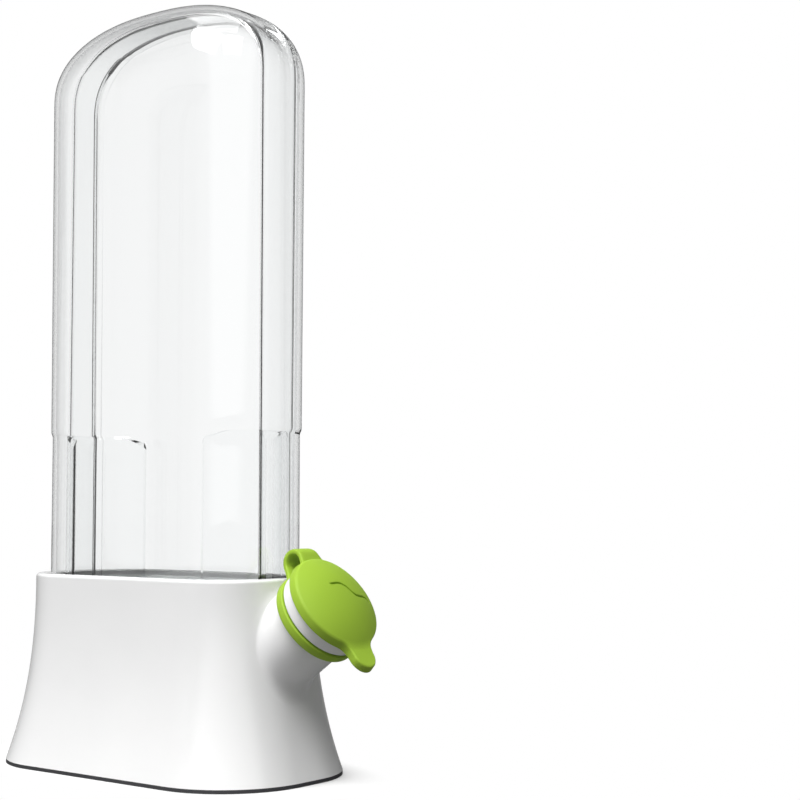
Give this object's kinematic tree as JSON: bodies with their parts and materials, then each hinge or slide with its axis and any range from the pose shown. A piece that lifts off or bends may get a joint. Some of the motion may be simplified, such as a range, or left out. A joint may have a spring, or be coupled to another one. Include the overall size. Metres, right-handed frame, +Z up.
{
  "type": "herb keeper",
  "caption": "Upright herb keeper: flared white base with a water well and a slanted, capped filling spout, a lift-out herb tray and a clear arched pod of nested half shells.",
  "frame": {"origin": "the centre of the footprint, on the surface that the keeper stands on", "axes": "+X towards the filling spout, -Y towards the front shell, +Z up"},
  "size_m": [0.1695, 0.0788, 0.292],
  "materials": {
    "foot_rubber": "matt, dark",
    "plate_plastic": "matt, white",
    "base_white": "glossy, white",
    "well_plastic": "satin, white",
    "seal_rubber": "matt, dark grey",
    "green_silicone": "satin, leaf green",
    "tray_clear": "polished, clear",
    "clear_plastic": "polished, clear"
  },
  "bodies": {
    "base": {"foot_pad": "foot_rubber", "bottom_plate": "plate_plastic", "base_shell": "base_white", "water_well": "well_plastic", "spout_seal": "seal_rubber", "cap_collar": "green_silicone", "cap_strap": "green_silicone"},
    "stopper": {"spout_cap": "green_silicone"},
    "tray": {"herb_tray": "tray_clear"},
    "pod_rear": {"rear_cover": "clear_plastic"},
    "pod_front": {"front_cover": "clear_plastic"}
  },
  "joints": [
    {"name": "cap_swing", "type": "hinge", "parent": "base", "child": "stopper", "pos_m": [0.0662, 0, 0.0789], "axis": [0, -1, 0], "range_deg": [0, 115], "deforming": ["cap_strap"]},
    {"name": "tray_lift", "type": "slide", "parent": "base", "child": "tray", "axis": [0, 0, 1], "range_m": [0, 0.065]},
    {"name": "pod_lift", "type": "slide", "parent": "base", "child": "pod_rear", "axis": [0, 0, 1], "range_m": [0, 0.075]},
    {"name": "front_cover_lift", "type": "slide", "parent": "pod_rear", "child": "pod_front", "axis": [0, 0, 1], "range_m": [0, 0.235]}
  ]
}
